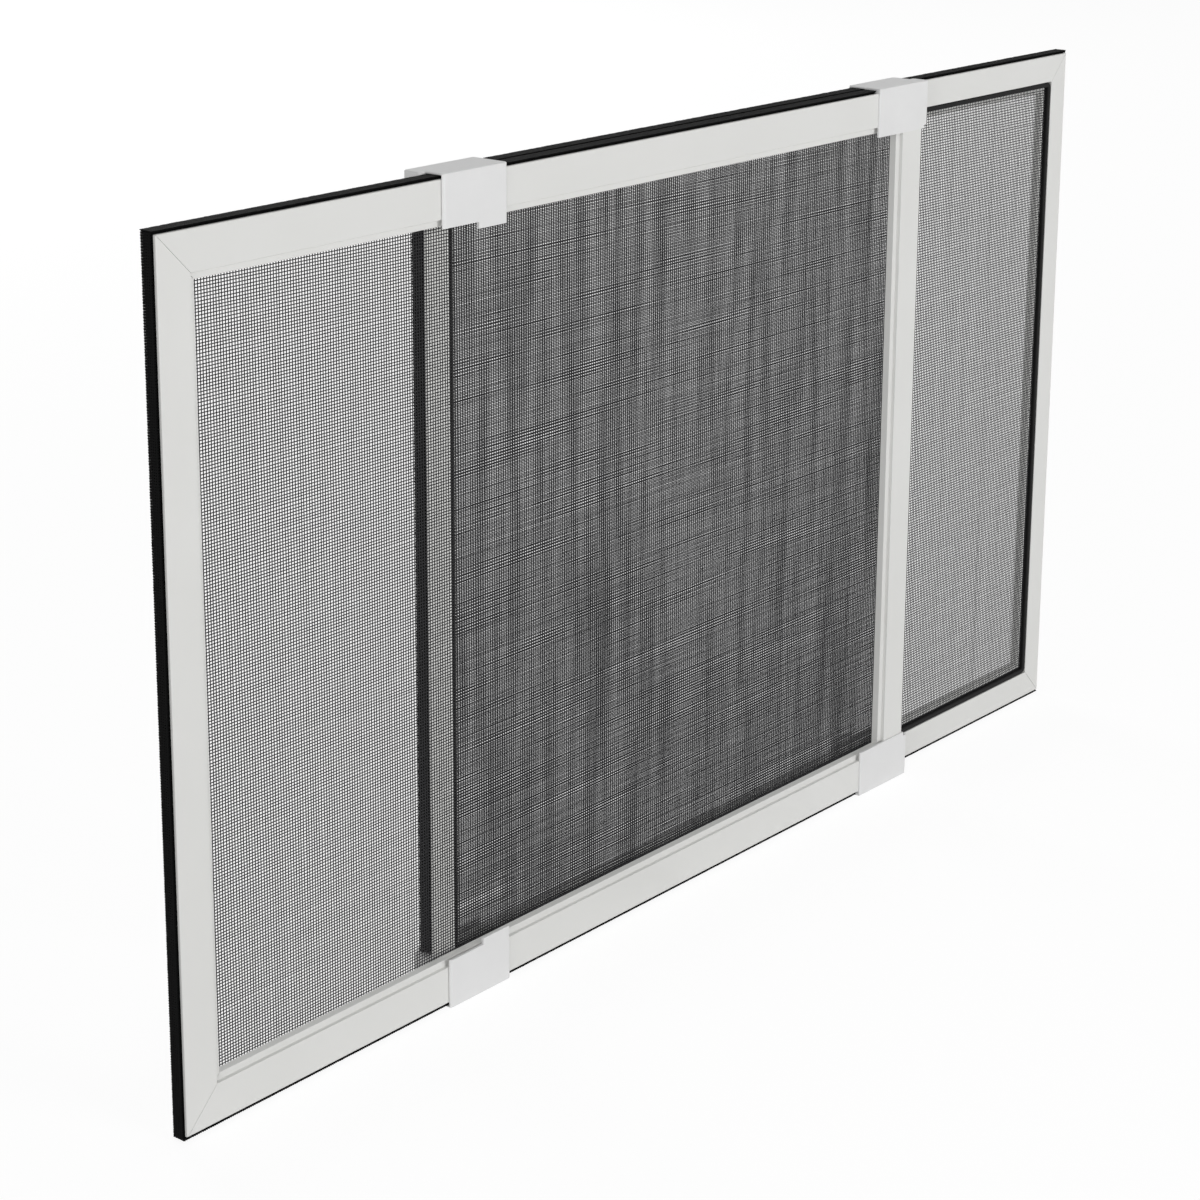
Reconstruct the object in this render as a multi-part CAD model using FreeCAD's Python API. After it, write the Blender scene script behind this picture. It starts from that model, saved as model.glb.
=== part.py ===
"""Extendable insect screen for a window: two hollow aluminium frames that slide along each other.

Both frames are the same product, one turned half a turn about the upright axis, so that their
spline sides face each other. One frame is drawn in its own axes: x runs from the outer stile's
edge to the inner stile's edge, y from the flat face to the spline face, z from the bottom edge
to the top edge. A bar of the frame is drawn from a section with two axes: u inwards from the
frame's outer edge, v from the flat face towards the spline face, and w runs along the bar.
All sizes are in millimetres.
"""
import FreeCAD
import Part
import math
import os

from FreeCAD import Vector

# Overall sizes
FRAME_HEIGHT = 381.0        # aluminium, bottom edge to top edge
FRAME_LENGTH = 533.0        # aluminium, one frame, outer stile to inner stile
EXTENSION = 161.0           # how far the rear frame stands out of the front frame at rest
FRAME_GAP = 0.5             # air between the two frames' spline faces

# Aluminium profile
THICKNESS = 8.5             # flat face to spline face
PROFILE_WIDTH = 20.8        # outer edge to the edge round the mesh
FLAT_FACE = 17.6            # width of the flat face
SPLINE_FACE = 14.6          # width of the face on the spline side
GROOVE_WIDTH = 3.4          # spline groove
GROOVE_FLOOR = 3.0          # v of the groove's floor
STEP_DEPTH = 2.0            # how far the lip lies behind the flat face
MESH_SEAT = 6.0             # v of the shelf that the mesh lies on
WALL = 1.0                  # wall round the hollow chamber
EDGE_RADIUS = 0.5           # rounding of the long outer edges
LIP_RADIUS = 0.3            # rounding of the edges beside the mesh
MITRE_GAP = 0.16            # hairline between two mitred bars

# Channel for the pile strip, in the outer edge
CHANNEL_LIP = 0.8           # thickness of the two lips that hold the strip
CHANNEL_DEPTH = 0.9         # room behind the lips
CHANNEL_WIDTH = 6.7         # room for the strip's backing
CHANNEL_MOUTH = 5.7         # opening between the lips

# Pile strip
PILE_HEIGHT = 1.6           # how far the brush stands out of the aluminium
PILE_SPREAD = 8.0           # width of the brush outside the channel, over both lips
PILE_SPREAD_START = 0.6     # how far out of the aluminium it is as wide as that
PILE_CLEARANCE = 0.05       # round the strip, in its channel
PILE_TIP_RADIUS = 0.5       # rounding of the brush's tip
PILE_END_ROOM = 0.15        # between two mitred strips at a corner
PILE_CLIP_ROOM = 0.3        # from a clip to the end of a strip

# Mesh, with its edge turned down into the groove, and the spline that holds it there
MESH_THICKNESS = 0.3
MESH_EDGE = 0.35            # thickness of the turned edge
MESH_TUCK = 2.8             # depth of the turned edge
SPLINE_HEIGHT = 5.2
SPLINE_CORNER_RADIUS = 3.0
SPLINE_TIP_CHAMFER = 0.5
SPLINE_CLEARANCE = 0.05     # between groove, spline and mesh
CELL_LENGTH = 25.4 / 16     # between upright threads
CELL_HEIGHT = 25.4 / 18     # between threads that lie across
THREAD = 0.28
OPENING_COLUMNS = 12        # the weave drawn coarse, as open as the real one
OPENING_ROWS = 9
RIDGE_HEIGHT = 0.2
RIDGE_MARGIN = 1.0          # from the aluminium to the ends of the ridges

# Corner key inside a mitred corner
KEY_ARM = 38.0              # frame's outer edge to the end of an arm
KEY_CLEARANCE = 0.1         # all round, in the profile's chamber
KEY_CHAMFER = 1.5           # at the end of an arm

# Slider clip at an inner corner
PLATE = 1.2                 # plates over the frames' faces
ROOF = 0.7                  # plate over the other frame's edge
ROOF_ROOM = 0.1             # between the roof and the other frame's pile
HOOK_ROOM = 0.3             # between the hook plate and the other frame's face
REACH = 41.5                # both plates, along the rail from the frame's edge
OWN_DROP = 22.5             # own plate, along the stile from the frame's edge
NOSE = 3.5                  # own plate and roof, past the inner stile's edge
NOSE_DROP = 20.4
HOOK_DROP = 21.3            # hook plate, near part
TOE_START = 22.5            # where the hook plate's far part begins
TOE_DROP = 24.4             # hook plate, far part
ARM = 25.0                  # arms inside the rail and the stile
CLIP_CORNER_RADIUS = 1.5
CLIP_EDGE_CHAMFER = 0.3

# Places that follow from the sizes
GROOVE_EDGE = SPLINE_FACE + GROOVE_WIDTH
CHAMBER_START = CHANNEL_LIP + CHANNEL_DEPTH + WALL
CHAMBER_END = SPLINE_FACE - WALL
MIDDLE = THICKNESS / 2
OPENING_PITCH_X = (FRAME_LENGTH - 2 * PROFILE_WIDTH) / OPENING_COLUMNS
OPENING_PITCH_Z = (FRAME_HEIGHT - 2 * PROFILE_WIDTH) / OPENING_ROWS
CLIP_RISE = PILE_HEIGHT + ROOF_ROOM + ROOF
HOOK_FACE = THICKNESS + FRAME_GAP + THICKNESS + HOOK_ROOM
OVERALL_LENGTH = FRAME_LENGTH + EXTENSION
OVERALL_DEPTH = THICKNESS + FRAME_GAP + THICKNESS
PAST = 10.0                 # how far a cutting solid runs past the work

RIGHT = Vector(1, 0, 0)
BACK = Vector(0, 1, 0)
UP = Vector(0, 0, 1)
LEFT = Vector(-1, 0, 0)

# Each side of the frame: where its outer edge starts, its inward direction, its long direction
BOTTOM_SIDE = (Vector(0, 0, 0), UP, RIGHT)
OUTER_SIDE = (Vector(0, 0, 0), RIGHT, UP)
INNER_SIDE = (Vector(FRAME_LENGTH, 0, 0), LEFT, UP)


def point(side, u, v, w):
    """The point at (u, v) of a side's section, w along the side."""
    start, inward, along = side
    return start + inward * u + BACK * v + along * w


def rounded_face(corners):
    """A flat face through corners (point, radius), with an arc at each corner that has a radius."""
    arcs = []
    for i, (corner, radius) in enumerate(corners):
        before = (corners[i - 1][0] - corner).normalize()
        after = (corners[(i + 1) % len(corners)][0] - corner).normalize()
        half_angle = before.getAngle(after) / 2
        tangent_length = radius / math.tan(half_angle)
        to_centre = radius / math.sin(half_angle)
        bulge = corner + (before + after).normalize() * (to_centre - radius)
        arcs.append((corner + before * tangent_length, bulge, corner + after * tangent_length))
    edges = []
    for i, (start, bulge, end) in enumerate(arcs):
        if corners[i][1] > 0:
            edges.append(Part.Arc(start, bulge, end).toShape())
        next_start = arcs[(i + 1) % len(arcs)][0]
        edges.append(Part.LineSegment(end, next_start).toShape())
    return Part.Face(Part.Wire(edges))


def bar(side, section, w_start, w_end):
    """A solid along one side of the frame, from a section of corners (u, v, radius)."""
    corners = [(point(side, u, v, w_start), radius) for u, v, radius in section]
    return rounded_face(corners).extrude(side[2] * (w_end - w_start))


def zone(side, corners):
    """A cutting solid through the whole thickness, over corners (u, w) of one side's face."""
    outline = [(point(side, u, -PAST, w), 0) for u, w in corners]
    return rounded_face(outline).extrude(BACK * (THICKNESS + 2 * PAST))


def box(low, high):
    """A box between two opposite corners."""
    size = high - low
    return Part.makeBox(size.x, size.y, size.z, low)


def ring_block(inset, v_start, v_end, radius):
    """A block over the frame's face, inset from its outer edge, with rounded upright corners."""
    corners = [
        (Vector(inset, v_start, inset), radius),
        (Vector(FRAME_LENGTH - inset, v_start, inset), radius),
        (Vector(FRAME_LENGTH - inset, v_start, FRAME_HEIGHT - inset), radius),
        (Vector(inset, v_start, FRAME_HEIGHT - inset), radius),
    ]
    return rounded_face(corners).extrude(BACK * (v_end - v_start))


def upside_down(shape):
    """The same piece at the other end of the frame's height."""
    return shape.mirror(Vector(0, 0, FRAME_HEIGHT / 2), UP)


# Sections (u, v, radius)
mesh_side = [
    (FLAT_FACE, 0, LIP_RADIUS),
    (FLAT_FACE, STEP_DEPTH, 0),
    (PROFILE_WIDTH, STEP_DEPTH, LIP_RADIUS),
    (PROFILE_WIDTH, MESH_SEAT, LIP_RADIUS),
    (GROOVE_EDGE, MESH_SEAT, 0),
    (GROOVE_EDGE, GROOVE_FLOOR, 0),
    (SPLINE_FACE, GROOVE_FLOOR, 0),
    (SPLINE_FACE, THICKNESS, LIP_RADIUS),
    (0, THICKNESS, EDGE_RADIUS),
]
channel = [
    (0, MIDDLE + CHANNEL_MOUTH / 2, 0),
    (CHANNEL_LIP, MIDDLE + CHANNEL_MOUTH / 2, 0),
    (CHANNEL_LIP, MIDDLE + CHANNEL_WIDTH / 2, 0),
    (CHANNEL_LIP + CHANNEL_DEPTH, MIDDLE + CHANNEL_WIDTH / 2, 0),
    (CHANNEL_LIP + CHANNEL_DEPTH, MIDDLE - CHANNEL_WIDTH / 2, 0),
    (CHANNEL_LIP, MIDDLE - CHANNEL_WIDTH / 2, 0),
    (CHANNEL_LIP, MIDDLE - CHANNEL_MOUTH / 2, 0),
    (0, MIDDLE - CHANNEL_MOUTH / 2, 0),
]
full_section = [(0, 0, EDGE_RADIUS)] + mesh_side
profile_section = full_section + channel
chamber_section = [
    (CHAMBER_START, WALL, 0),
    (CHAMBER_END, WALL, 0),
    (CHAMBER_END, THICKNESS - WALL, 0),
    (CHAMBER_START, THICKNESS - WALL, 0),
]
arm_section = [
    (CHAMBER_START + KEY_CLEARANCE, WALL + KEY_CLEARANCE, 0),
    (CHAMBER_END - KEY_CLEARANCE, WALL + KEY_CLEARANCE, 0),
    (CHAMBER_END - KEY_CLEARANCE, THICKNESS - WALL - KEY_CLEARANCE, 0),
    (CHAMBER_START + KEY_CLEARANCE, THICKNESS - WALL - KEY_CLEARANCE, 0),
]
brush_half = CHANNEL_MOUTH / 2 - PILE_CLEARANCE
backing_half = CHANNEL_WIDTH / 2 - PILE_CLEARANCE
spread_half = PILE_SPREAD / 2
pile_section = [
    (-PILE_HEIGHT, MIDDLE - spread_half, PILE_TIP_RADIUS),
    (-PILE_SPREAD_START, MIDDLE - spread_half, 0),
    (-PILE_CLEARANCE, MIDDLE - brush_half, 0),
    (CHANNEL_LIP + PILE_CLEARANCE, MIDDLE - brush_half, 0),
    (CHANNEL_LIP + PILE_CLEARANCE, MIDDLE - backing_half, 0),
    (CHANNEL_LIP + CHANNEL_DEPTH - PILE_CLEARANCE, MIDDLE - backing_half, 0),
    (CHANNEL_LIP + CHANNEL_DEPTH - PILE_CLEARANCE, MIDDLE + backing_half, 0),
    (CHANNEL_LIP + PILE_CLEARANCE, MIDDLE + backing_half, 0),
    (CHANNEL_LIP + PILE_CLEARANCE, MIDDLE + brush_half, 0),
    (-PILE_CLEARANCE, MIDDLE + brush_half, 0),
    (-PILE_SPREAD_START, MIDDLE + spread_half, 0),
    (-PILE_HEIGHT, MIDDLE + spread_half, PILE_TIP_RADIUS),
]


def mitred_outline(gap, end, end_mitred):
    """Corners (u, w) of a bar that keeps half of a gap from the mitre at its start, and the same at
    its end or a square end."""
    back = gap / math.sqrt(2)
    inner = PROFILE_WIDTH + PAST
    outline = [(-PAST, back - PAST), (inner, inner + back)]
    if end_mitred:
        return outline + [(inner, end - inner - back), (-PAST, end + PAST - back)]
    return outline + [(inner, end), (-PAST, end)]


def hollow_bar(side, corners, length):
    """A hollow aluminium bar of one side, cut to shape over corners (u, w)."""
    solid = bar(side, profile_section, 0, length)
    chamber = bar(side, chamber_section, 0, length)
    return solid.cut(chamber).common(zone(side, corners))


def pile_strip(side, corners, length):
    """The pile strip of one side, cut to shape over corners (u, w)."""
    return bar(side, pile_section, -PAST, length + PAST).common(zone(side, corners))


def make_rail():
    """The bottom rail: mitred at the outer stile, square where the slider clip begins."""
    corners = mitred_outline(MITRE_GAP, FRAME_LENGTH - PROFILE_WIDTH, False)
    return hollow_bar(BOTTOM_SIDE, corners, FRAME_LENGTH)


def make_outer_stile():
    """The outer stile: mitred at both ends."""
    return hollow_bar(OUTER_SIDE, mitred_outline(MITRE_GAP, FRAME_HEIGHT, True), FRAME_HEIGHT)


def make_inner_stile():
    """The inner stile: square between the two slider clips."""
    corners = [
        (-PAST, PROFILE_WIDTH),
        (PROFILE_WIDTH + PAST, PROFILE_WIDTH),
        (PROFILE_WIDTH + PAST, FRAME_HEIGHT - PROFILE_WIDTH),
        (-PAST, FRAME_HEIGHT - PROFILE_WIDTH),
    ]
    return hollow_bar(INNER_SIDE, corners, FRAME_HEIGHT)


def make_corner_key():
    """The key in the lower mitred corner: two arms, each in one bar's chamber."""
    start = CHAMBER_START + KEY_CLEARANCE
    rail_arm = bar(BOTTOM_SIDE, arm_section, start, KEY_ARM)
    stile_arm = bar(OUTER_SIDE, arm_section, start, KEY_ARM)
    key = rail_arm.fuse(stile_arm).removeSplitter()
    ends = []
    for edge in key.Edges:
        middle = edge.BoundBox.Center
        across = edge.BoundBox.YLength > WALL
        if across and max(middle.x, middle.z) > KEY_ARM - WALL:
            ends.append(edge)
    return key.makeChamfer(KEY_CHAMFER, ends)


def make_clip():
    """The slider clip at the lower inner corner: a block that joins rail and stile, with a plate
    over its own frame and a hook round the other frame's rail."""
    edge_x = FRAME_LENGTH
    plan = [
        (Vector(edge_x + NOSE, -PLATE, -CLIP_RISE), CLIP_CORNER_RADIUS),
        (Vector(edge_x - REACH, -PLATE, -CLIP_RISE), PLATE / 2),
        (Vector(edge_x - REACH, HOOK_FACE + PLATE, -CLIP_RISE), CLIP_CORNER_RADIUS),
        (Vector(edge_x, HOOK_FACE + PLATE, -CLIP_RISE), CLIP_CORNER_RADIUS),
        (Vector(edge_x, THICKNESS, -CLIP_RISE), 0),
        (Vector(edge_x + NOSE, THICKNESS, -CLIP_RISE), CLIP_CORNER_RADIUS),
    ]
    envelope = rounded_face(plan).extrude(UP * (CLIP_RISE + TOE_DROP))
    rim = [edge for edge in envelope.Edges if edge.BoundBox.ZMax < 0]
    envelope = envelope.makeChamfer(CLIP_EDGE_CHAMFER, rim)
    far = edge_x - FRAME_LENGTH / 2
    own_room = box(Vector(far, 0, 0), Vector(edge_x, THICKNESS, FRAME_HEIGHT))
    other_room = box(
        Vector(far, THICKNESS, -CLIP_RISE + ROOF),
        Vector(edge_x + NOSE + PAST, HOOK_FACE, FRAME_HEIGHT),
    )
    under_own = box(Vector(far, -PAST, OWN_DROP), Vector(edge_x + NOSE + PAST, THICKNESS, FRAME_HEIGHT))
    under_nose = box(
        Vector(edge_x, -PAST, NOSE_DROP),
        Vector(edge_x + NOSE + PAST, THICKNESS, FRAME_HEIGHT),
    )
    under_hook = box(
        Vector(edge_x - TOE_START, HOOK_FACE, HOOK_DROP),
        Vector(edge_x + PAST, HOOK_FACE + PLATE + PAST, FRAME_HEIGHT),
    )
    cover = envelope.cut([own_room, other_room, under_own, under_nose, under_hook])
    square_start = FRAME_LENGTH - PROFILE_WIDTH
    rail_corner = [(-PAST, square_start), (-PAST, FRAME_LENGTH + PAST), (PROFILE_WIDTH, square_start)]
    stile_corner = [(-PAST, PROFILE_WIDTH), (-PAST, -PAST), (PROFILE_WIDTH, PROFILE_WIDTH)]
    rail_block = bar(BOTTOM_SIDE, full_section, 0, FRAME_LENGTH).common(zone(BOTTOM_SIDE, rail_corner))
    stile_block = bar(INNER_SIDE, full_section, 0, FRAME_HEIGHT).common(zone(INNER_SIDE, stile_corner))
    rail_arm = bar(BOTTOM_SIDE, arm_section, square_start - ARM, square_start)
    stile_arm = bar(INNER_SIDE, arm_section, PROFILE_WIDTH, PROFILE_WIDTH + ARM)
    return cover.multiFuse([rail_block, stile_block, rail_arm, stile_arm]).removeSplitter()


def mesh_openings(seat, top):
    """The openings of the mesh: the real weave's share of thread and air, with few large cells."""
    half_x = OPENING_PITCH_X * (1 - THREAD / CELL_LENGTH) / 2
    half_z = OPENING_PITCH_Z * (1 - THREAD / CELL_HEIGHT) / 2
    openings = []
    for column in range(OPENING_COLUMNS):
        x = PROFILE_WIDTH + OPENING_PITCH_X * (column + 0.5)
        for row in range(OPENING_ROWS):
            z = PROFILE_WIDTH + OPENING_PITCH_Z * (row + 0.5)
            openings.append(box(
                Vector(x - half_x, seat - PAST, z - half_z),
                Vector(x + half_x, top + PAST, z + half_z),
            ))
    return openings


def mesh_ridges(seat, top):
    """A thread that stands out along each web: behind it where upright, before it where it lies across."""
    low = PROFILE_WIDTH + RIDGE_MARGIN
    ridges = []
    for column in range(1, OPENING_COLUMNS):
        x = PROFILE_WIDTH + OPENING_PITCH_X * column
        ridges.append(box(
            Vector(x - THREAD, seat - RIDGE_HEIGHT, low),
            Vector(x + THREAD, seat, FRAME_HEIGHT - low),
        ))
    for row in range(1, OPENING_ROWS):
        z = PROFILE_WIDTH + OPENING_PITCH_Z * row
        ridges.append(box(
            Vector(low, top, z - THREAD),
            Vector(FRAME_LENGTH - low, top + RIDGE_HEIGHT, z + THREAD),
        ))
    return ridges


def make_mesh():
    """The fly mesh: one thin wall cut into a grid, its edge turned down beside the spline."""
    turned = GROOVE_EDGE - SPLINE_CLEARANCE - MESH_EDGE
    seat = MESH_SEAT + SPLINE_CLEARANCE
    top = seat + MESH_THICKNESS
    wall = ring_block(turned, seat, top, MESH_EDGE)
    rim_outside = ring_block(turned, seat - MESH_TUCK, seat, MESH_EDGE)
    rim_inside = ring_block(turned + MESH_EDGE, seat - MESH_TUCK, seat, 0)
    rim = rim_outside.cut(rim_inside)
    whole = wall.multiFuse([rim] + mesh_ridges(seat, top))
    return whole.cut(Part.makeCompound(mesh_openings(seat, top))).removeSplitter()


def make_spline():
    """The spline: one cord all round the groove, beside the mesh's turned edge."""
    floor = GROOVE_FLOOR + SPLINE_CLEARANCE
    outer_inset = SPLINE_FACE + SPLINE_CLEARANCE
    inner_inset = GROOVE_EDGE - MESH_EDGE - 2 * SPLINE_CLEARANCE
    outside = ring_block(outer_inset, floor, floor + SPLINE_HEIGHT, SPLINE_CORNER_RADIUS)
    inside = ring_block(inner_inset, floor, floor + SPLINE_HEIGHT, MESH_EDGE + SPLINE_CLEARANCE)
    cord = outside.cut(inside)
    tip = [edge for edge in cord.Edges if edge.BoundBox.YMin > floor + SPLINE_HEIGHT - SPLINE_CLEARANCE]
    return cord.makeChamfer(SPLINE_TIP_CHAMFER, tip)


def make_frame():
    """One frame's pieces by name, in the frame's own axes."""
    rail_pile_end = FRAME_LENGTH - REACH - PILE_CLIP_ROOM
    inner_pile_start = max(PROFILE_WIDTH, NOSE_DROP) + PILE_CLIP_ROOM
    rail = make_rail()
    key = make_corner_key()
    clip = make_clip()
    rail_pile_outline = mitred_outline(PILE_END_ROOM, rail_pile_end, False)
    outer_pile_outline = mitred_outline(PILE_END_ROOM, FRAME_HEIGHT, True)
    rail_pile = pile_strip(BOTTOM_SIDE, rail_pile_outline, FRAME_LENGTH)
    return {
        "outer_stile": make_outer_stile(),
        "top_rail": upside_down(rail),
        "bottom_rail": rail,
        "inner_stile": make_inner_stile(),
        "upper_corner_key": upside_down(key),
        "lower_corner_key": key,
        "upper_slider_clip": upside_down(clip),
        "lower_slider_clip": clip,
        "insect_mesh": make_mesh(),
        "mesh_spline": make_spline(),
        "top_pile": upside_down(rail_pile),
        "bottom_pile": rail_pile,
        "outer_pile": pile_strip(OUTER_SIDE, outer_pile_outline, FRAME_HEIGHT),
        "inner_pile": bar(INNER_SIDE, pile_section, inner_pile_start, FRAME_HEIGHT - inner_pile_start),
    }


def main():
    """Writes both frames' pieces. The origin is at the centre of the pair, under its clips."""
    os.makedirs("parts", exist_ok=True)
    to_origin = Vector(-OVERALL_LENGTH / 2, -OVERALL_DEPTH / 2, CLIP_RISE)
    for name, piece in make_frame().items():
        front = piece.copy()
        front.translate(to_origin)
        front.exportStep("parts/front_" + name + ".step")
        rear = front.copy()
        rear.rotate(Vector(0, 0, 0), UP, 180)
        rear.exportStep("parts/rear_" + name + ".step")


main()
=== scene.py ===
"""Extendable window insect screen: two white aluminium frames with dark fly mesh, one sliding
behind the other in four white plastic clips, with black brush pile round their edges.
Lengths are in metres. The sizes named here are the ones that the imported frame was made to.
"""
import bpy
import math
from mathutils import Euler, Matrix, Vector


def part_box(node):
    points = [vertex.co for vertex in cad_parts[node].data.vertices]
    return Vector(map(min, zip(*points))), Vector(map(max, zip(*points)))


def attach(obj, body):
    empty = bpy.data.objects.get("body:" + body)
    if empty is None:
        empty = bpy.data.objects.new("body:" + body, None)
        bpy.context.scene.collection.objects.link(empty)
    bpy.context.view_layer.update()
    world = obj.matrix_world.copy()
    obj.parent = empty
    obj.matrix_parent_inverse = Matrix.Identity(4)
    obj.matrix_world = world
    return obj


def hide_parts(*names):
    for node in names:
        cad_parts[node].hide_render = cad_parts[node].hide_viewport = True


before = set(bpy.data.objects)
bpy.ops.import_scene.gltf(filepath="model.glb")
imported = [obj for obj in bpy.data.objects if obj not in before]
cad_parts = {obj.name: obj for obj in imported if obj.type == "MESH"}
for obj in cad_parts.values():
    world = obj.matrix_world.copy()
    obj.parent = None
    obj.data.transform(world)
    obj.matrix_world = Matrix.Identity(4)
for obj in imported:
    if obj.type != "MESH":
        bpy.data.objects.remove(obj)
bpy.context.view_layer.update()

MM = 0.001

# Sizes of the real thing
LINE_PITCH = 25.4 / 18 * MM     # fly mesh, 18 lines to the inch from bottom to top
UPRIGHT_PITCH = 25.4 / 16 * MM  # and 16 uprights to the inch from side to side
YARN = 0.47 * MM                # real yarn is 0.28 mm; drawn thicker, to read as dark as the photo
YARN_OFFSET = 0.08 * MM         # lines lie a little in front of uprights, as woven
YARN_PARTS = 16                 # pieces along a yarn, so that it can wander
# A yarn's sideways drift: its width, length and size. The quick one differs from yarn to yarn.
SLOW_DRIFT = (8 * MM, 80 * MM, 0.6 * MM)
QUICK_DRIFT = (1.1 * MM, 60 * MM, 0.35 * MM)
# The rear mesh is stretched a little wider than the front one. Its stretch and the places of one
# line and one upright are fitted so that the overlap looks evenly dark from the photo's camera.
REAR_LINES = 1.006065
REAR_UPRIGHTS = 1.006459
LINE_HEIGHT = {"front": 190 * MM, "rear": 188.25 * MM}
UPRIGHT_PLACE = {"front": 0 * MM, "rear": 7.1 * MM}
SEAT_TO_FACE = 0.35 * MM        # middle of the weave to the highest part of the mesh
HEM = 0.3 * MM                  # mesh folded down beside the spline
SPLINE_WIDTH = 2.9 * MM
SPLINE_ROUNDING = 0.7 * MM
SPLINE_TURN = 2.2 * MM          # the cord's way round a corner, in the middle of it
BRUSH_OUT = 1.6 * MM            # how far the pile stands out of the aluminium
BRUSH_PITCH = 1.15 * MM         # one tuft to the next
BRUSH_ROWS = 5
ROW_PITCH = 1.0 * MM
TUFT_ROOT = 0.3 * MM
TUFT_TIP = 0.62 * MM
TUFT_REACH = 0.96               # share of the pile's height, so that ruffled tips stay below it
RUFFLE = 2.0 * MM               # size of the pile's ruffles, and how far they lift and push tips
RUFFLE_LIFT = 0.24 * MM
RUFFLE_PUSH = 0.5 * MM
RAIL_FAN = 1.4                  # tufts fan out over the channel's lips, more so along the rails
STILE_FAN = 1.08
BACKING = 0.75 * MM             # woven strip that carries the tufts
BACKING_WIDTH = 6.6 * MM
BACKING_EDGE = 0.15 * MM

BARS = ("outer_stile", "top_rail", "bottom_rail", "inner_stile")
ROUND_YARN = math.radians(70)   # edges blunter than this are shaded smooth
ROUND_CORD = math.radians(50)

# Grains to the metre in the patterns of the surfaces
COAT_DRIFT = 14.0
COAT_PEEL = 900.0
FLOW_CLOUD = 60.0
SPARK_GRAIN = 2200.0
YARN_DUST = 700.0
CORD_TALC = 180.0
CORD_RIBS = 1500.0
PILE_FIBRE = 4000.0
ALONG = 60.0                    # painted sheen streaks in the pile, along the strip and across it
ACROSS = 2500.0

# Studio
FLOOR_SIZE = 30
AIM = (0, 0, 0.19)              # middle of the frames
FILL = 0.3                      # even light from all round
FLOOR_GLOW = 0.9                # what the camera sees of the floor, before lamps and shadows
LENS = 85.71                    # in the camera's own millimetres
LENS_SHIFT = -0.15              # the photo's own is larger; kept small for the other views
CAMERA_PLACE = (-1.0683, -0.8170, 0.5945)
PAN = math.radians(50.76)
TILT = math.radians(14.82)
ROLL = math.radians(0.28)


# Colour and shader helpers

def linear(hex_code):
    """An sRGB colour such as D9D9D6 as linear red, green, blue and alpha."""
    colour = []
    for start in (0, 2, 4):
        part = int(hex_code[start:start + 2], 16) / 255
        colour.append(part / 12.92 if part <= 0.04045 else ((part + 0.055) / 1.055) ** 2.4)
    return (*colour, 1.0)


def add_node(tree, kind, settings=None, links=None):
    """Adds a shader node, sets its sockets and properties, and links sockets to other outputs."""
    made = tree.nodes.new(kind)
    for name, value in (settings or {}).items():
        if name in made.inputs:
            made.inputs[name].default_value = value
        else:
            setattr(made, name, value)
    for name, output in (links or {}).items():
        tree.links.new(output, made.inputs[name])
    return made


def new_material(name):
    """An empty material with its output and a place to read positions from."""
    made = bpy.data.materials.new(name)
    made.use_nodes = True
    tree = made.node_tree
    tree.nodes.clear()
    output = tree.nodes.new("ShaderNodeOutputMaterial")
    place = tree.nodes.new("ShaderNodeTexCoord").outputs["Object"]
    return made, tree, output, place


def powder_coat():
    """Polyester powder coat on extruded aluminium: satin, with baked powder's faint orange peel."""
    made, tree, output, place = new_material("White powder coat")
    drift = add_node(
        tree, "ShaderNodeTexNoise", {"Scale": COAT_DRIFT, "Detail": 2.0}, {"Vector": place}
    )
    tint = add_node(tree, "ShaderNodeMix", {"data_type": "RGBA"}, {"Factor": drift.outputs["Fac"]})
    tint.inputs[6].default_value = linear("DEDEDB")
    tint.inputs[7].default_value = linear("E6E6E4")
    peel = add_node(
        tree, "ShaderNodeTexNoise", {"Scale": COAT_PEEL, "Detail": 1.5}, {"Vector": place}
    )
    rough = add_node(
        tree, "ShaderNodeMapRange", {"To Min": 0.34, "To Max": 0.44}, {"Value": peel.outputs["Fac"]}
    )
    relief = add_node(
        tree,
        "ShaderNodeBump",
        {"Strength": 0.25, "Distance": 0.02 * MM},
        {"Height": peel.outputs["Fac"]},
    )
    shader = add_node(
        tree,
        "ShaderNodeBsdfPrincipled",
        {"IOR": 1.5},
        {
            "Base Color": tint.outputs[2],
            "Roughness": rough.outputs["Result"],
            "Normal": relief.outputs["Normal"],
        },
    )
    tree.links.new(shader.outputs["BSDF"], output.inputs["Surface"])
    return made


def moulded_plastic(name, low, high, roughness):
    """Injection-moulded ABS: even colour, a fine spark-eroded grain and slow flow clouding."""
    made, tree, output, place = new_material(name)
    cloud = add_node(
        tree, "ShaderNodeTexNoise", {"Scale": FLOW_CLOUD, "Detail": 3.0}, {"Vector": place}
    )
    tint = add_node(tree, "ShaderNodeMix", {"data_type": "RGBA"}, {"Factor": cloud.outputs["Fac"]})
    tint.inputs[6].default_value = linear(low)
    tint.inputs[7].default_value = linear(high)
    grain = add_node(
        tree, "ShaderNodeTexNoise", {"Scale": SPARK_GRAIN, "Detail": 1.0}, {"Vector": place}
    )
    rough = add_node(
        tree,
        "ShaderNodeMapRange",
        {"To Min": roughness - 0.05, "To Max": roughness + 0.05},
        {"Value": grain.outputs["Fac"]},
    )
    relief = add_node(
        tree,
        "ShaderNodeBump",
        {"Strength": 0.2, "Distance": 0.01 * MM},
        {"Height": grain.outputs["Fac"]},
    )
    shader = add_node(
        tree,
        "ShaderNodeBsdfPrincipled",
        {"IOR": 1.53},
        {
            "Base Color": tint.outputs[2],
            "Roughness": rough.outputs["Result"],
            "Normal": relief.outputs["Normal"],
        },
    )
    tree.links.new(shader.outputs["BSDF"], output.inputs["Surface"])
    return made


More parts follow.
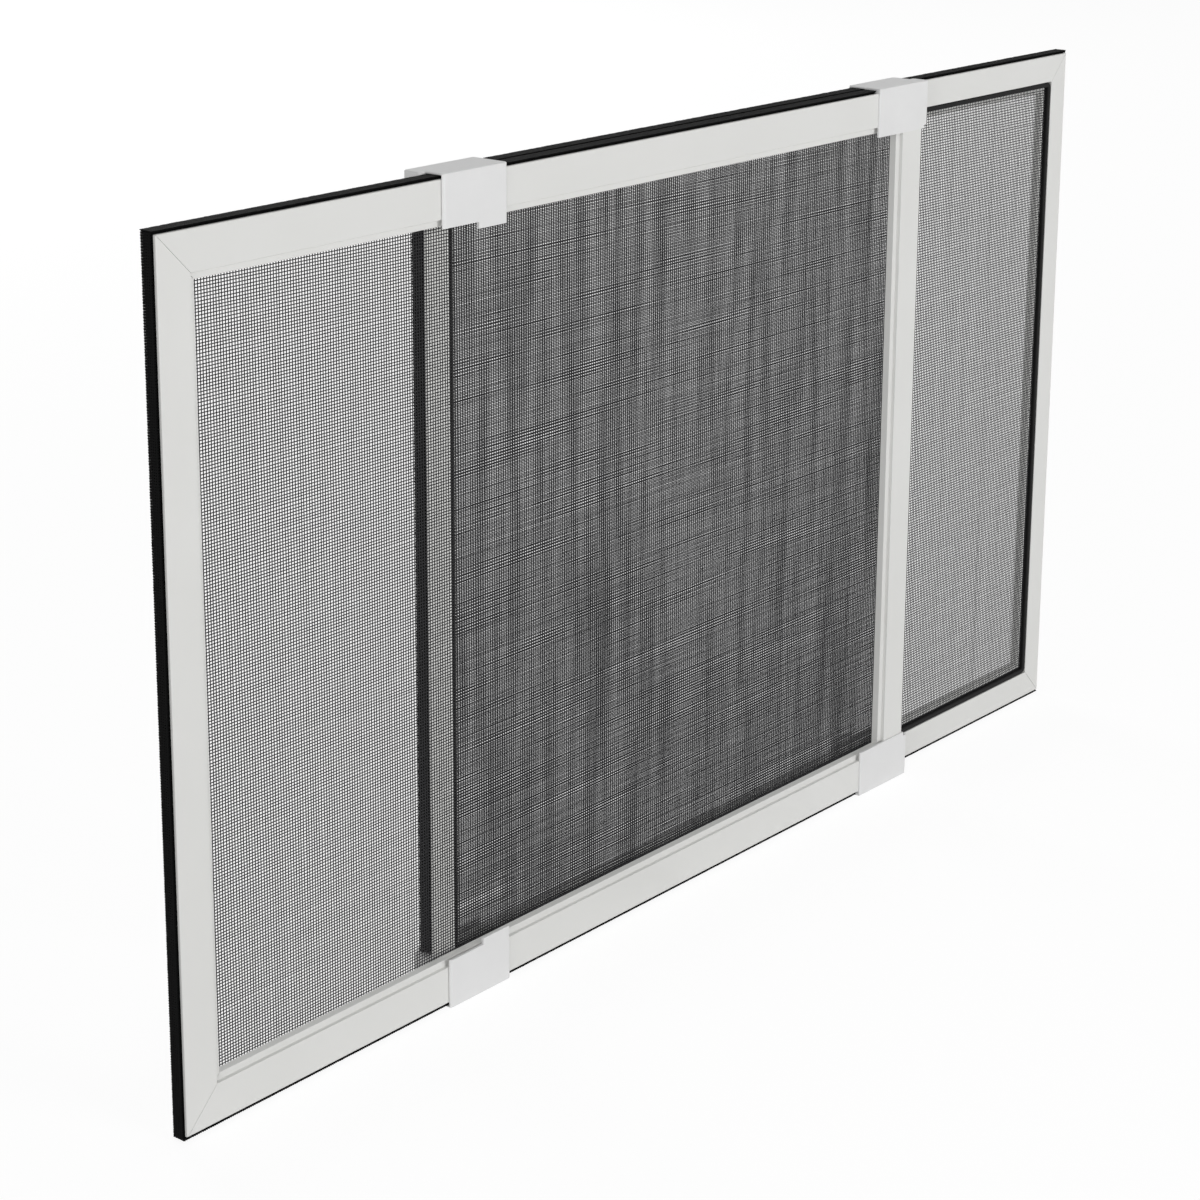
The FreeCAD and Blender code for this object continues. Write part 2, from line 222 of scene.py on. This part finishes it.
def coated_yarn():
    """Glass fibre yarn in charcoal vinyl: a dull sheath that bulges where two yarns cross."""
    made, tree, output, place = new_material("Vinyl coated glass yarn")
    axes = add_node(tree, "ShaderNodeSeparateXYZ", None, {"Vector": place})
    waves = []
    for axis, pitch in (("X", UPRIGHT_PITCH), ("Z", LINE_PITCH)):
        turned = add_node(
            tree, "ShaderNodeMath", {"operation": "MULTIPLY"}, {0: axes.outputs[axis]}
        )
        turned.inputs[1].default_value = math.pi / pitch
        wave = add_node(tree, "ShaderNodeMath", {"operation": "SINE"}, {0: turned.outputs[0]})
        waves.append(wave.outputs[0])
    crossing = add_node(
        tree, "ShaderNodeMath", {"operation": "MULTIPLY"}, {0: waves[0], 1: waves[1]}
    )
    relief = add_node(
        tree,
        "ShaderNodeBump",
        {"Strength": 0.5, "Distance": 0.05 * MM},
        {"Height": crossing.outputs[0]},
    )
    dust = add_node(
        tree, "ShaderNodeTexNoise", {"Scale": YARN_DUST, "Detail": 2.0}, {"Vector": place}
    )
    tint = add_node(tree, "ShaderNodeMix", {"data_type": "RGBA"}, {"Factor": dust.outputs["Fac"]})
    tint.inputs[6].default_value = linear("161618")
    tint.inputs[7].default_value = linear("29292B")
    shader = add_node(
        tree,
        "ShaderNodeBsdfPrincipled",
        {"IOR": 1.5, "Roughness": 0.6, "Specular IOR Level": 0.25},
        {"Base Color": tint.outputs[2], "Normal": relief.outputs["Normal"]},
    )
    tree.links.new(shader.outputs["BSDF"], output.inputs["Surface"])
    return made


def spline_rubber():
    """Extruded EPDM cord: matt black, with fine ribs along it and a trace of talc."""
    made, tree, output, place = new_material("EPDM spline")
    talc = add_node(
        tree, "ShaderNodeTexNoise", {"Scale": CORD_TALC, "Detail": 4.0}, {"Vector": place}
    )
    tint = add_node(tree, "ShaderNodeMix", {"data_type": "RGBA"}, {"Factor": talc.outputs["Fac"]})
    tint.inputs[6].default_value = linear("060606")
    tint.inputs[7].default_value = linear("131313")
    ribs = add_node(
        tree, "ShaderNodeTexNoise", {"Scale": CORD_RIBS, "Detail": 1.0}, {"Vector": place}
    )
    relief = add_node(
        tree,
        "ShaderNodeBump",
        {"Strength": 0.3, "Distance": 0.03 * MM},
        {"Height": ribs.outputs["Fac"]},
    )
    shader = add_node(
        tree,
        "ShaderNodeBsdfPrincipled",
        {"IOR": 1.5, "Roughness": 0.6, "Specular IOR Level": 0.15},
        {"Base Color": tint.outputs[2], "Normal": relief.outputs["Normal"]},
    )
    tree.links.new(shader.outputs["BSDF"], output.inputs["Surface"])
    return made


def brush_pile(name, stretch):
    """Polypropylene pile: soft black fibre, with a sheen painted into its colour as lighter streaks
    along the strip.
    """
    made, tree, output, place = new_material(name)
    # painted sheen: lighter streaks, drawn out along the strip and mixed into the base colour
    drawn = add_node(tree, "ShaderNodeMapping", {"Scale": stretch}, {"Vector": place})
    painted_sheen_streak = add_node(
        tree,
        "ShaderNodeTexNoise",
        {"Scale": 1.0, "Detail": 3.0},
        {"Vector": drawn.outputs["Vector"]},
    )
    tint = add_node(tree, "ShaderNodeMix", {"data_type": "RGBA"}, {"Factor": painted_sheen_streak.outputs["Fac"]})
    tint.inputs[6].default_value = linear("040404")
    tint.inputs[7].default_value = linear("171717")
    fibre = add_node(
        tree, "ShaderNodeTexNoise", {"Scale": PILE_FIBRE, "Detail": 1.0}, {"Vector": place}
    )
    relief = add_node(
        tree,
        "ShaderNodeBump",
        {"Strength": 0.6, "Distance": 0.05 * MM},
        {"Height": fibre.outputs["Fac"]},
    )
    shader = add_node(
        tree,
        "ShaderNodeBsdfPrincipled",
        {"IOR": 1.49, "Roughness": 0.85, "Specular IOR Level": 0.08},
        {"Base Color": tint.outputs[2], "Normal": relief.outputs["Normal"]},
    )
    tree.links.new(shader.outputs["BSDF"], output.inputs["Surface"])
    return made


white_coat = powder_coat()
clip_plastic = moulded_plastic("White moulded ABS", "E2E2E2", "E9E9E9", 0.36)
key_plastic = moulded_plastic("Grey moulded nylon", "C2C2C0", "CBCBC9", 0.5)
mesh_yarn = coated_yarn()
spline_cord = spline_rubber()
rail_brush = brush_pile("Black pile along the rails", (ALONG, ACROSS, ACROSS))
stile_brush = brush_pile("Black pile along the stiles", (ACROSS, ACROSS, ALONG))


# Modelling helpers

def start_alone():
    """Leaves edit mode and selects nothing."""
    if bpy.context.object and bpy.context.object.mode != "OBJECT":
        bpy.ops.object.mode_set(mode="OBJECT")
    bpy.ops.object.select_all(action="DESELECT")


def pick(piece):
    """Makes one piece the only selected and active one."""
    start_alone()
    piece.select_set(True)
    bpy.context.view_layer.objects.active = piece


def apply_all(piece):
    """Applies every modifier of a piece, in order."""
    pick(piece)
    for modifier in list(piece.modifiers):
        bpy.ops.object.modifier_apply(modifier=modifier.name)


def settle(piece):
    """Puts a piece's place, turn and size into its mesh, so that its object sits at the origin."""
    pick(piece)
    bpy.ops.object.transform_apply(location=True, rotation=True, scale=True)


def join(pieces, name):
    """Joins pieces into one, under a name."""
    start_alone()
    for piece in pieces:
        piece.select_set(True)
    bpy.context.view_layer.objects.active = pieces[0]
    bpy.ops.object.join()
    pieces[0].name = name
    return pieces[0]


def give(piece, material):
    """Gives a piece one material all over."""
    piece.data.materials.clear()
    piece.data.materials.append(material)


def repeat(piece, count, step):
    """Copies a piece count times, each a step from the one before."""
    row = piece.modifiers.new("Row", "ARRAY")
    row.use_relative_offset = False
    row.use_constant_offset = True
    row.constant_offset_displace = step
    row.count = count


def finish_pair(piece, node, material):
    """Finishes a front frame's piece and makes the rear frame's copy, turned half round."""
    give(piece, material)
    pick(piece)
    bpy.ops.object.duplicate()
    turned = bpy.context.object
    turned.rotation_euler = (0, 0, math.pi)
    settle(turned)
    made = {"front": piece, "rear": turned}
    for side, one in made.items():
        one.name = side + "_" + node + "_detail"
        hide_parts(side + "_" + node)
        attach(one, side + "_frame")


# Fly mesh

def wander(lattice, along, across_scale, along_scale, strength):
    """Moves the lattice's lines sideways by a cloud pattern that is drawn out along them."""
    drawn_out = along_scale / across_scale
    shrink = [1.0, 1.0, 1.0]
    shrink[along] = 1 / drawn_out
    lattice.scale = shrink
    settle(lattice)
    clouds = bpy.data.textures.new("Wander", "CLOUDS")
    clouds.noise_scale = across_scale
    sideways = lattice.modifiers.new("Wander", "DISPLACE")
    sideways.texture = clouds
    sideways.texture_coords = "LOCAL"
    sideways.direction = "Z" if along == 0 else "X"
    sideways.strength = strength
    apply_all(lattice)
    stretch = [1.0, 1.0, 1.0]
    stretch[along] = drawn_out
    lattice.scale = stretch
    settle(lattice)


def yarns(low, high, along, depth, pitch, through):
    """Parallel yarns between two corners, laid along X or Z at a pitch, one of them through a
    place. Like real ones they aren't quite evenly spaced, and wander a little along their run."""
    across = 2 - along
    before = int((through - low[across] - YARN) / pitch)
    after = int((high[across] - YARN - through) / pitch)
    middle = (low + high) / 2
    middle[across] = through + pitch * (after - before) / 2
    size = [0.0, 0.0]
    size[along // 2] = high[along] - low[along]
    size[across // 2] = pitch * (before + after)
    steps = [0, 0]
    steps[along // 2] = YARN_PARTS
    steps[across // 2] = before + after
    start_alone()
    bpy.ops.mesh.primitive_grid_add(
        x_subdivisions=steps[0],
        y_subdivisions=steps[1],
        size=1,
        location=(middle.x, depth, middle.z),
        rotation=(math.pi / 2, 0, 0),
    )
    lattice = bpy.context.object
    lattice.scale = (size[0], size[1], 1)
    settle(lattice)
    bpy.ops.object.mode_set(mode="EDIT")
    bpy.ops.mesh.select_mode(type="EDGE")
    bpy.ops.mesh.select_all(action="DESELECT")
    bpy.ops.object.mode_set(mode="OBJECT")
    points = lattice.data.vertices
    for edge in lattice.data.edges:
        one, other = (points[i].co for i in edge.vertices)
        edge.select = abs(one[across] - other[across]) > pitch / 2
    bpy.ops.object.mode_set(mode="EDIT")
    bpy.ops.mesh.delete(type="EDGE")
    bpy.ops.object.mode_set(mode="OBJECT")
    wander(lattice, along, *SLOW_DRIFT)
    wander(lattice, along, *QUICK_DRIFT)
    bpy.ops.object.convert(target="CURVE")
    lattice.data.bevel_depth = YARN / 2
    lattice.data.bevel_resolution = 1
    lattice.data.use_fill_caps = True
    bpy.ops.object.convert(target="MESH")
    return bpy.context.object


def hem(low, high, wall, far):
    """The mesh's edge, folded into the groove all round, from the mesh's plane to the far edge."""
    start_alone()
    middle = (low + high) / 2
    bpy.ops.mesh.primitive_plane_add(
        size=1, location=(middle.x, wall, middle.z), rotation=(math.pi / 2, 0, 0)
    )
    band = bpy.context.object
    band.scale = (high.x - low.x - HEM, high.z - low.z - HEM, 1)
    settle(band)
    bpy.ops.object.mode_set(mode="EDIT")
    bpy.ops.mesh.select_all(action="SELECT")
    bpy.ops.mesh.delete(type="ONLY_FACE")
    bpy.ops.mesh.select_all(action="SELECT")
    bpy.ops.mesh.extrude_region_move(TRANSFORM_OT_translate={"value": (0, far - wall, 0)})
    bpy.ops.object.mode_set(mode="OBJECT")
    shell = band.modifiers.new("Thickness", "SOLIDIFY")
    shell.thickness = HEM
    shell.offset = 0
    apply_all(band)
    return band


def fly_mesh(side):
    """The woven mesh of a frame: lines on one side of the uprights, with a hem round the edge."""
    low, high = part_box(side + "_insect_mesh")
    if side == "front":
        far, wall, towards = low.y, high.y - SEAT_TO_FACE, 1
        stretch = (1, 1)
    else:
        far, wall, towards = high.y, low.y + SEAT_TO_FACE, -1
        stretch = (REAR_LINES, REAR_UPRIGHTS)
    lines = yarns(
        low, high, 0, wall + towards * YARN_OFFSET, LINE_PITCH * stretch[0], LINE_HEIGHT[side]
    )
    uprights = yarns(
        low, high, 2, wall - towards * YARN_OFFSET, UPRIGHT_PITCH * stretch[1], UPRIGHT_PLACE[side]
    )
    edge = hem(low, high, wall, far)
    woven = join([lines, uprights, edge], side + "_insect_mesh_detail")
    bpy.ops.object.shade_smooth_by_angle(angle=ROUND_YARN)
    # drawn this thick, the yarns would keep too much light from the frame behind and beside them
    woven.visible_shadow = False
    woven.visible_diffuse = False
    give(woven, mesh_yarn)
    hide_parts(side + "_insect_mesh")
    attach(woven, side + "_frame")


# Spline

def rounded_outline(width, height, rounding, steps):
    """A curve round a rectangle in the XY plane, with round corners."""
    start_alone()
    bpy.ops.mesh.primitive_plane_add(size=1)
    outline = bpy.context.object
    outline.scale = (width, height, 1)
    settle(outline)
    bpy.ops.object.mode_set(mode="EDIT")
    bpy.ops.mesh.select_all(action="SELECT")
    bpy.ops.mesh.bevel(offset=rounding, segments=steps, affect="VERTICES")
    bpy.ops.mesh.select_all(action="SELECT")
    bpy.ops.mesh.delete(type="ONLY_FACE")
    bpy.ops.object.mode_set(mode="OBJECT")
    bpy.ops.object.convert(target="CURVE")
    return bpy.context.object


def spline():
    """The cord: a soft rubber section that is swept round the groove and fills it."""
    low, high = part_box("front_mesh_spline")
    around = high - low
    section = rounded_outline(SPLINE_WIDTH, around.y, SPLINE_ROUNDING, 4)
    cord = rounded_outline(around.x - SPLINE_WIDTH, around.z - SPLINE_WIDTH, SPLINE_TURN, 5)
    cord.data.dimensions = "3D"
    cord.data.twist_mode = "Z_UP"
    cord.data.bevel_mode = "OBJECT"
    cord.data.bevel_object = section
    bpy.ops.object.convert(target="MESH")
    cord = bpy.context.object
    bpy.data.objects.remove(section)
    cord.rotation_euler = (math.pi / 2, 0, 0)
    cord.location = (low + high) / 2
    settle(cord)
    bpy.ops.object.mode_set(mode="EDIT")
    bpy.ops.mesh.select_all(action="SELECT")
    bpy.ops.mesh.remove_doubles(threshold=0.01 * MM)
    bpy.ops.mesh.normals_make_consistent(inside=False)
    bpy.ops.object.mode_set(mode="OBJECT")
    bpy.ops.object.shade_smooth_by_angle(angle=ROUND_CORD)
    finish_pair(cord, "mesh_spline", spline_cord)


# Brush pile

def mitre_end(strip, corner, removed):
    """Cuts a strip off at the mitre through a corner of the frame, on the removed side."""
    pick(strip)
    bpy.ops.object.mode_set(mode="EDIT")
    bpy.ops.mesh.select_all(action="SELECT")
    bpy.ops.mesh.bisect(plane_co=corner, plane_no=removed, clear_outer=True, use_fill=True)
    bpy.ops.object.mode_set(mode="OBJECT")


def choose(piece, wanted, mode):
    """Goes into edit mode with only the wanted faces or points of a piece selected."""
    pick(piece)
    bpy.ops.object.mode_set(mode="EDIT")
    bpy.ops.mesh.select_mode(type=mode)
    bpy.ops.mesh.select_all(action="DESELECT")
    bpy.ops.object.mode_set(mode="OBJECT")
    parts = piece.data.polygons if mode == "FACE" else piece.data.vertices
    for part in parts:
        part.select = wanted(part)
    bpy.ops.object.mode_set(mode="EDIT")


def tuft_rows(length, height, fan):
    """Rows of flared tufts along X that stand up from the origin's plane and fan out at the top."""
    edge = height - BRUSH_OUT
    count = int(length / BRUSH_PITCH)
    first = (-BRUSH_PITCH * (count - 1) / 2, -ROW_PITCH * (BRUSH_ROWS - 1) / 2)
    start_alone()
    bpy.ops.mesh.primitive_cone_add(
        vertices=6,
        radius1=TUFT_ROOT,
        radius2=TUFT_ROOT,
        depth=edge,
        location=(*first, edge / 2),
    )
    tuft = bpy.context.object
    settle(tuft)
    choose(tuft, lambda face: face.normal.z > 0.9, "FACE")
    rise = BRUSH_OUT * TUFT_REACH
    bpy.ops.mesh.extrude_region_move(TRANSFORM_OT_translate={"value": (0, 0, rise)})
    flare = TUFT_TIP / TUFT_ROOT
    bpy.ops.transform.resize(value=(flare, flare, 1), center_override=(*first, height))
    bpy.ops.object.mode_set(mode="OBJECT")
    repeat(tuft, count, (BRUSH_PITCH, 0, 0))
    repeat(tuft, BRUSH_ROWS, (0, ROW_PITCH, 0))
    apply_all(tuft)
    choose(tuft, lambda point: point.co.z > edge + BRUSH_OUT / 2, "VERT")
    bpy.ops.transform.resize(value=(1, fan, 1), center_override=(0, 0, height))
    bpy.ops.object.mode_set(mode="OBJECT")
    for direction, strength in (("Z", RUFFLE_LIFT), ("X", RUFFLE_PUSH)):
        clouds = bpy.data.textures.new("Ruffle", "CLOUDS")
        clouds.noise_scale = RUFFLE
        ruffle = tuft.modifiers.new("Ruffle", "DISPLACE")
        ruffle.texture = clouds
        ruffle.texture_coords = "LOCAL"
        ruffle.direction = direction
        ruffle.strength = strength
    apply_all(tuft)
    return tuft


def brush(place, turn, mitres):
    """A strip of pile in the channel of one bar: rows of tufts on a woven backing."""
    node = place + "_pile"
    low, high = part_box("front_" + node)
    span = high - low
    length = max(span)
    height = min(span)
    on_rail = span.x > span.z
    tufts = tuft_rows(length, height, RAIL_FAN if on_rail else STILE_FAN)
    start_alone()
    bpy.ops.mesh.primitive_cube_add(size=1, location=(0, 0, BACKING / 2))
    backing = bpy.context.object
    backing.scale = (length, BACKING_WIDTH, BACKING)
    settle(backing)
    edge = backing.modifiers.new("Edge", "BEVEL")
    edge.width = BACKING_EDGE
    edge.segments = 2
    apply_all(backing)
    strip = join([tufts, backing], node)
    strip.rotation_euler = turn
    settle(strip)
    outwards = Euler(turn).to_matrix() @ Vector((0, 0, height / 2))
    strip.location = (low + high) / 2 - outwards
    settle(strip)
    for corner, removed in mitres:
        mitre_end(strip, corner, removed)
    bpy.ops.object.shade_smooth_by_angle(angle=ROUND_CORD)
    finish_pair(strip, node, rail_brush if on_rail else stile_brush)


def brushes():
    """The four strips of a frame. Two of them meet at each mitred corner."""
    edge_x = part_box("front_outer_stile")[0].x
    top = Vector((edge_x, 0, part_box("front_top_rail")[1].z))
    bottom = Vector((edge_x, 0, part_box("front_bottom_rail")[0].z))
    quarter = math.pi / 2
    brush("top", (0, 0, 0), [(top, (-1, 0, -1))])
    brush("bottom", (2 * quarter, 0, 0), [(bottom, (-1, 0, 1))])
    brush("outer", (0, -quarter, 0), [(top, (1, 0, 1)), (bottom, (1, 0, -1))])
    brush("inner", (0, quarter, 0), [])


for side in ("front", "rear"):
    for bar in BARS:
        give(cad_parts[side + "_" + bar], white_coat)
    for height in ("upper", "lower"):
        give(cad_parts[side + "_" + height + "_slider_clip"], clip_plastic)
        give(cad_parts[side + "_" + height + "_corner_key"], key_plastic)
fly_mesh("front")
fly_mesh("rear")
spline()
brushes()


# Stage, light and camera

def what_is_seen(tree):
    """1 for what is seen straight, in gloss or through glass, and 0 for the light's own way."""
    path = tree.nodes.new("ShaderNodeLightPath")
    seen = path.outputs["Is Camera Ray"]
    for ray in ("Is Glossy Ray", "Is Transmission Ray"):
        either = add_node(
            tree, "ShaderNodeMath", {"operation": "MAXIMUM"}, {0: seen, 1: path.outputs[ray]}
        )
        seen = either.outputs[0]
    return seen


def pale_floor():
    """A pale sweep that photographs white and keeps a soft shadow."""
    start_alone()
    bpy.ops.mesh.primitive_plane_add(size=FLOOR_SIZE, location=(0, 0, 0))
    floor = bpy.context.object
    floor.name = "studio_floor"
    made, tree, output, _ = new_material("White studio floor")
    paper = add_node(tree, "ShaderNodeBsdfDiffuse", {"Color": linear("F4F4F4")})
    glow = add_node(tree, "ShaderNodeEmission", {"Color": (1, 1, 1, 1), "Strength": FLOOR_GLOW})
    faint = add_node(tree, "ShaderNodeBsdfDiffuse", {"Color": (0.16, 0.16, 0.16, 1)})
    shown = add_node(tree, "ShaderNodeAddShader", None, {0: glow.outputs[0], 1: faint.outputs[0]})
    both = add_node(
        tree,
        "ShaderNodeMixShader",
        None,
        {0: what_is_seen(tree), 1: paper.outputs[0], 2: shown.outputs[0]},
    )
    tree.links.new(both.outputs[0], output.inputs["Surface"])
    give(floor, made)


def studio_world():
    """White all round for the camera and in reflections, and an even soft fill for the object."""
    world = bpy.data.worlds.new("Studio")
    bpy.context.scene.world = world
    world.use_nodes = True
    tree = world.node_tree
    tree.nodes.clear()
    output = tree.nodes.new("ShaderNodeOutputWorld")
    fill = add_node(tree, "ShaderNodeBackground", {"Color": (1, 1, 1, 1), "Strength": FILL})
    white = add_node(tree, "ShaderNodeBackground", {"Color": (1, 1, 1, 1), "Strength": 1.0})
    both = add_node(
        tree,
        "ShaderNodeMixShader",
        None,
        {0: what_is_seen(tree), 1: fill.outputs[0], 2: white.outputs[0]},
    )
    tree.links.new(both.outputs[0], output.inputs["Surface"])


def softbox(name, place, size, power):
    """A square soft light that points at the middle of the frames."""
    start_alone()
    bpy.ops.object.light_add(type="AREA", location=place)
    lamp = bpy.context.object
    lamp.name = name
    lamp.data.size = size
    lamp.data.energy = power
    lamp.rotation_euler = (Vector(AIM) - Vector(place)).to_track_quat("-Z", "Y").to_euler()


def photo_camera():
    """The camera of the photograph: a long lens from the front left, a little above."""
    bpy.ops.object.camera_add()
    camera = bpy.context.object
    camera.data.sensor_width = 36
    camera.data.lens = LENS
    camera.data.shift_y = LENS_SHIFT
    camera.data.clip_end = 100
    level = Matrix.Rotation(-PAN, 4, "Z") @ Matrix.Rotation(math.pi / 2 - TILT, 4, "X")
    turn = level @ Matrix.Rotation(ROLL, 4, "Z")
    camera.matrix_world = Matrix.Translation(CAMERA_PLACE) @ turn
    bpy.context.scene.camera = camera


pale_floor()
studio_world()
softbox("front_key", place=(0.25, -4.0, 1.0), size=1.9, power=73)
softbox("left_fill", place=(-3.4, -1.3, 0.9), size=1.6, power=30)
softbox("back_light", place=(1.6, 3.8, 0.9), size=1.9, power=66)
photo_camera()
bpy.context.scene.view_settings.view_transform = "Standard"
